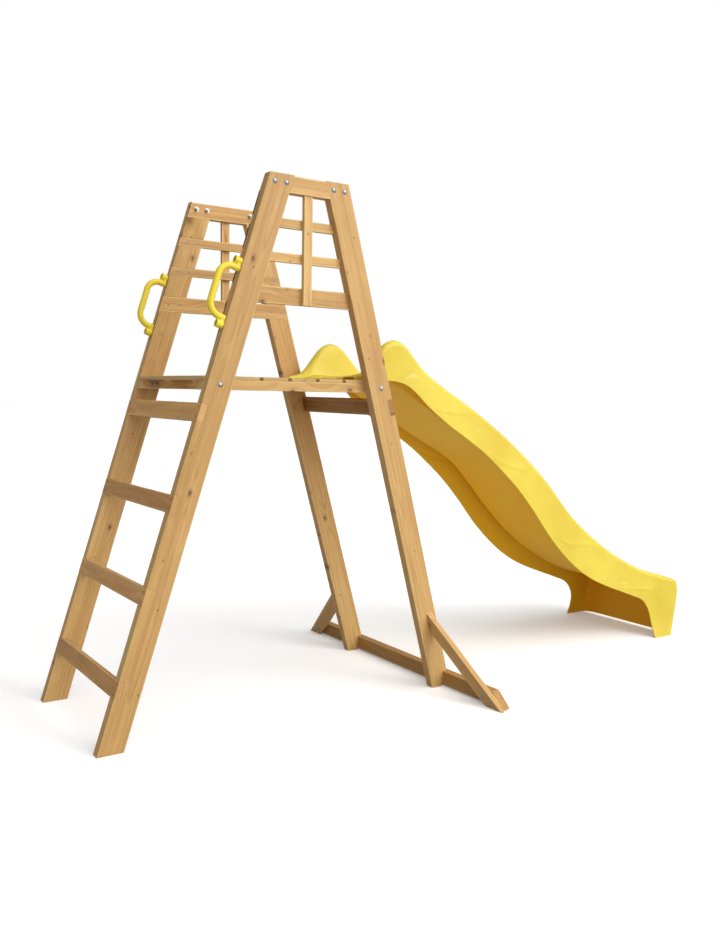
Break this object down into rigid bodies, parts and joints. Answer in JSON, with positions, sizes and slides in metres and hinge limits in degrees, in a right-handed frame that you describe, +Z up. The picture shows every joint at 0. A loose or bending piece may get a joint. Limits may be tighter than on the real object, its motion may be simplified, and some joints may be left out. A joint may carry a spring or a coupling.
{
  "type": "timber slide tower",
  "caption": "Timber A-frame slide tower with a climbing ladder, slatted deck, guard panels, moulded grab handles and a one-piece wave slide.",
  "frame": {"origin": "centre of the object's box on the ground", "axes": "+Z up, +Y from the ladder towards the foot of the slide, +X across to the right when facing the ladder from the slide's far side; symmetric about X = 0"},
  "size_m": [1.3556, 2.95, 1.846],
  "materials": {
    "timber": "planed softwood with a light oiled or stained finish",
    "slide_plastic": "smooth moulded polyethylene, satin gloss",
    "handle_plastic": "moulded polyethylene, glossy",
    "zinc_steel": "bright zinc plate"
  },
  "bodies": {
    "root": {"front_leg_left": "timber", "front_leg_right": "timber", "rear_leg_left": "timber", "rear_leg_right": "timber", "top_rail_left": "timber", "top_rail_right": "timber", "upper_guard_rail_left": "timber", "upper_guard_rail_right": "timber", "lower_guard_rail_left": "timber", "lower_guard_rail_right": "timber", "guard_board_left": "timber", "guard_board_right": "timber", "guard_batten_left": "timber", "guard_batten_right": "timber", "platform_rail_left": "timber", "platform_rail_right": "timber", "ladder_step_1": "timber", "ladder_step_2": "timber", "ladder_step_3": "timber", "ladder_step_4": "timber", "deck_slat_1": "timber", "deck_slat_2": "timber", "deck_slat_3": "timber", "deck_slat_4": "timber", "deck_slat_5": "timber", "deck_slat_6": "timber", "rear_cross_board": "timber", "base_rail": "timber", "brace_left": "timber", "brace_right": "timber", "slide": "slide_plastic", "grab_handle_left": "handle_plastic", "grab_handle_right": "handle_plastic", "handle_screws": "zinc_steel", "top_joint_bolts": "zinc_steel", "top_joint_nuts": "zinc_steel", "platform_bolts": "zinc_steel", "platform_nuts": "zinc_steel", "brace_bolts": "zinc_steel", "brace_screws": "zinc_steel", "step_screws": "zinc_steel", "cross_board_screws": "zinc_steel", "guard_screws": "zinc_steel", "slat_screws": "zinc_steel", "base_rail_screws": "zinc_steel", "slide_screws": "zinc_steel"}
  },
  "joints": []
}
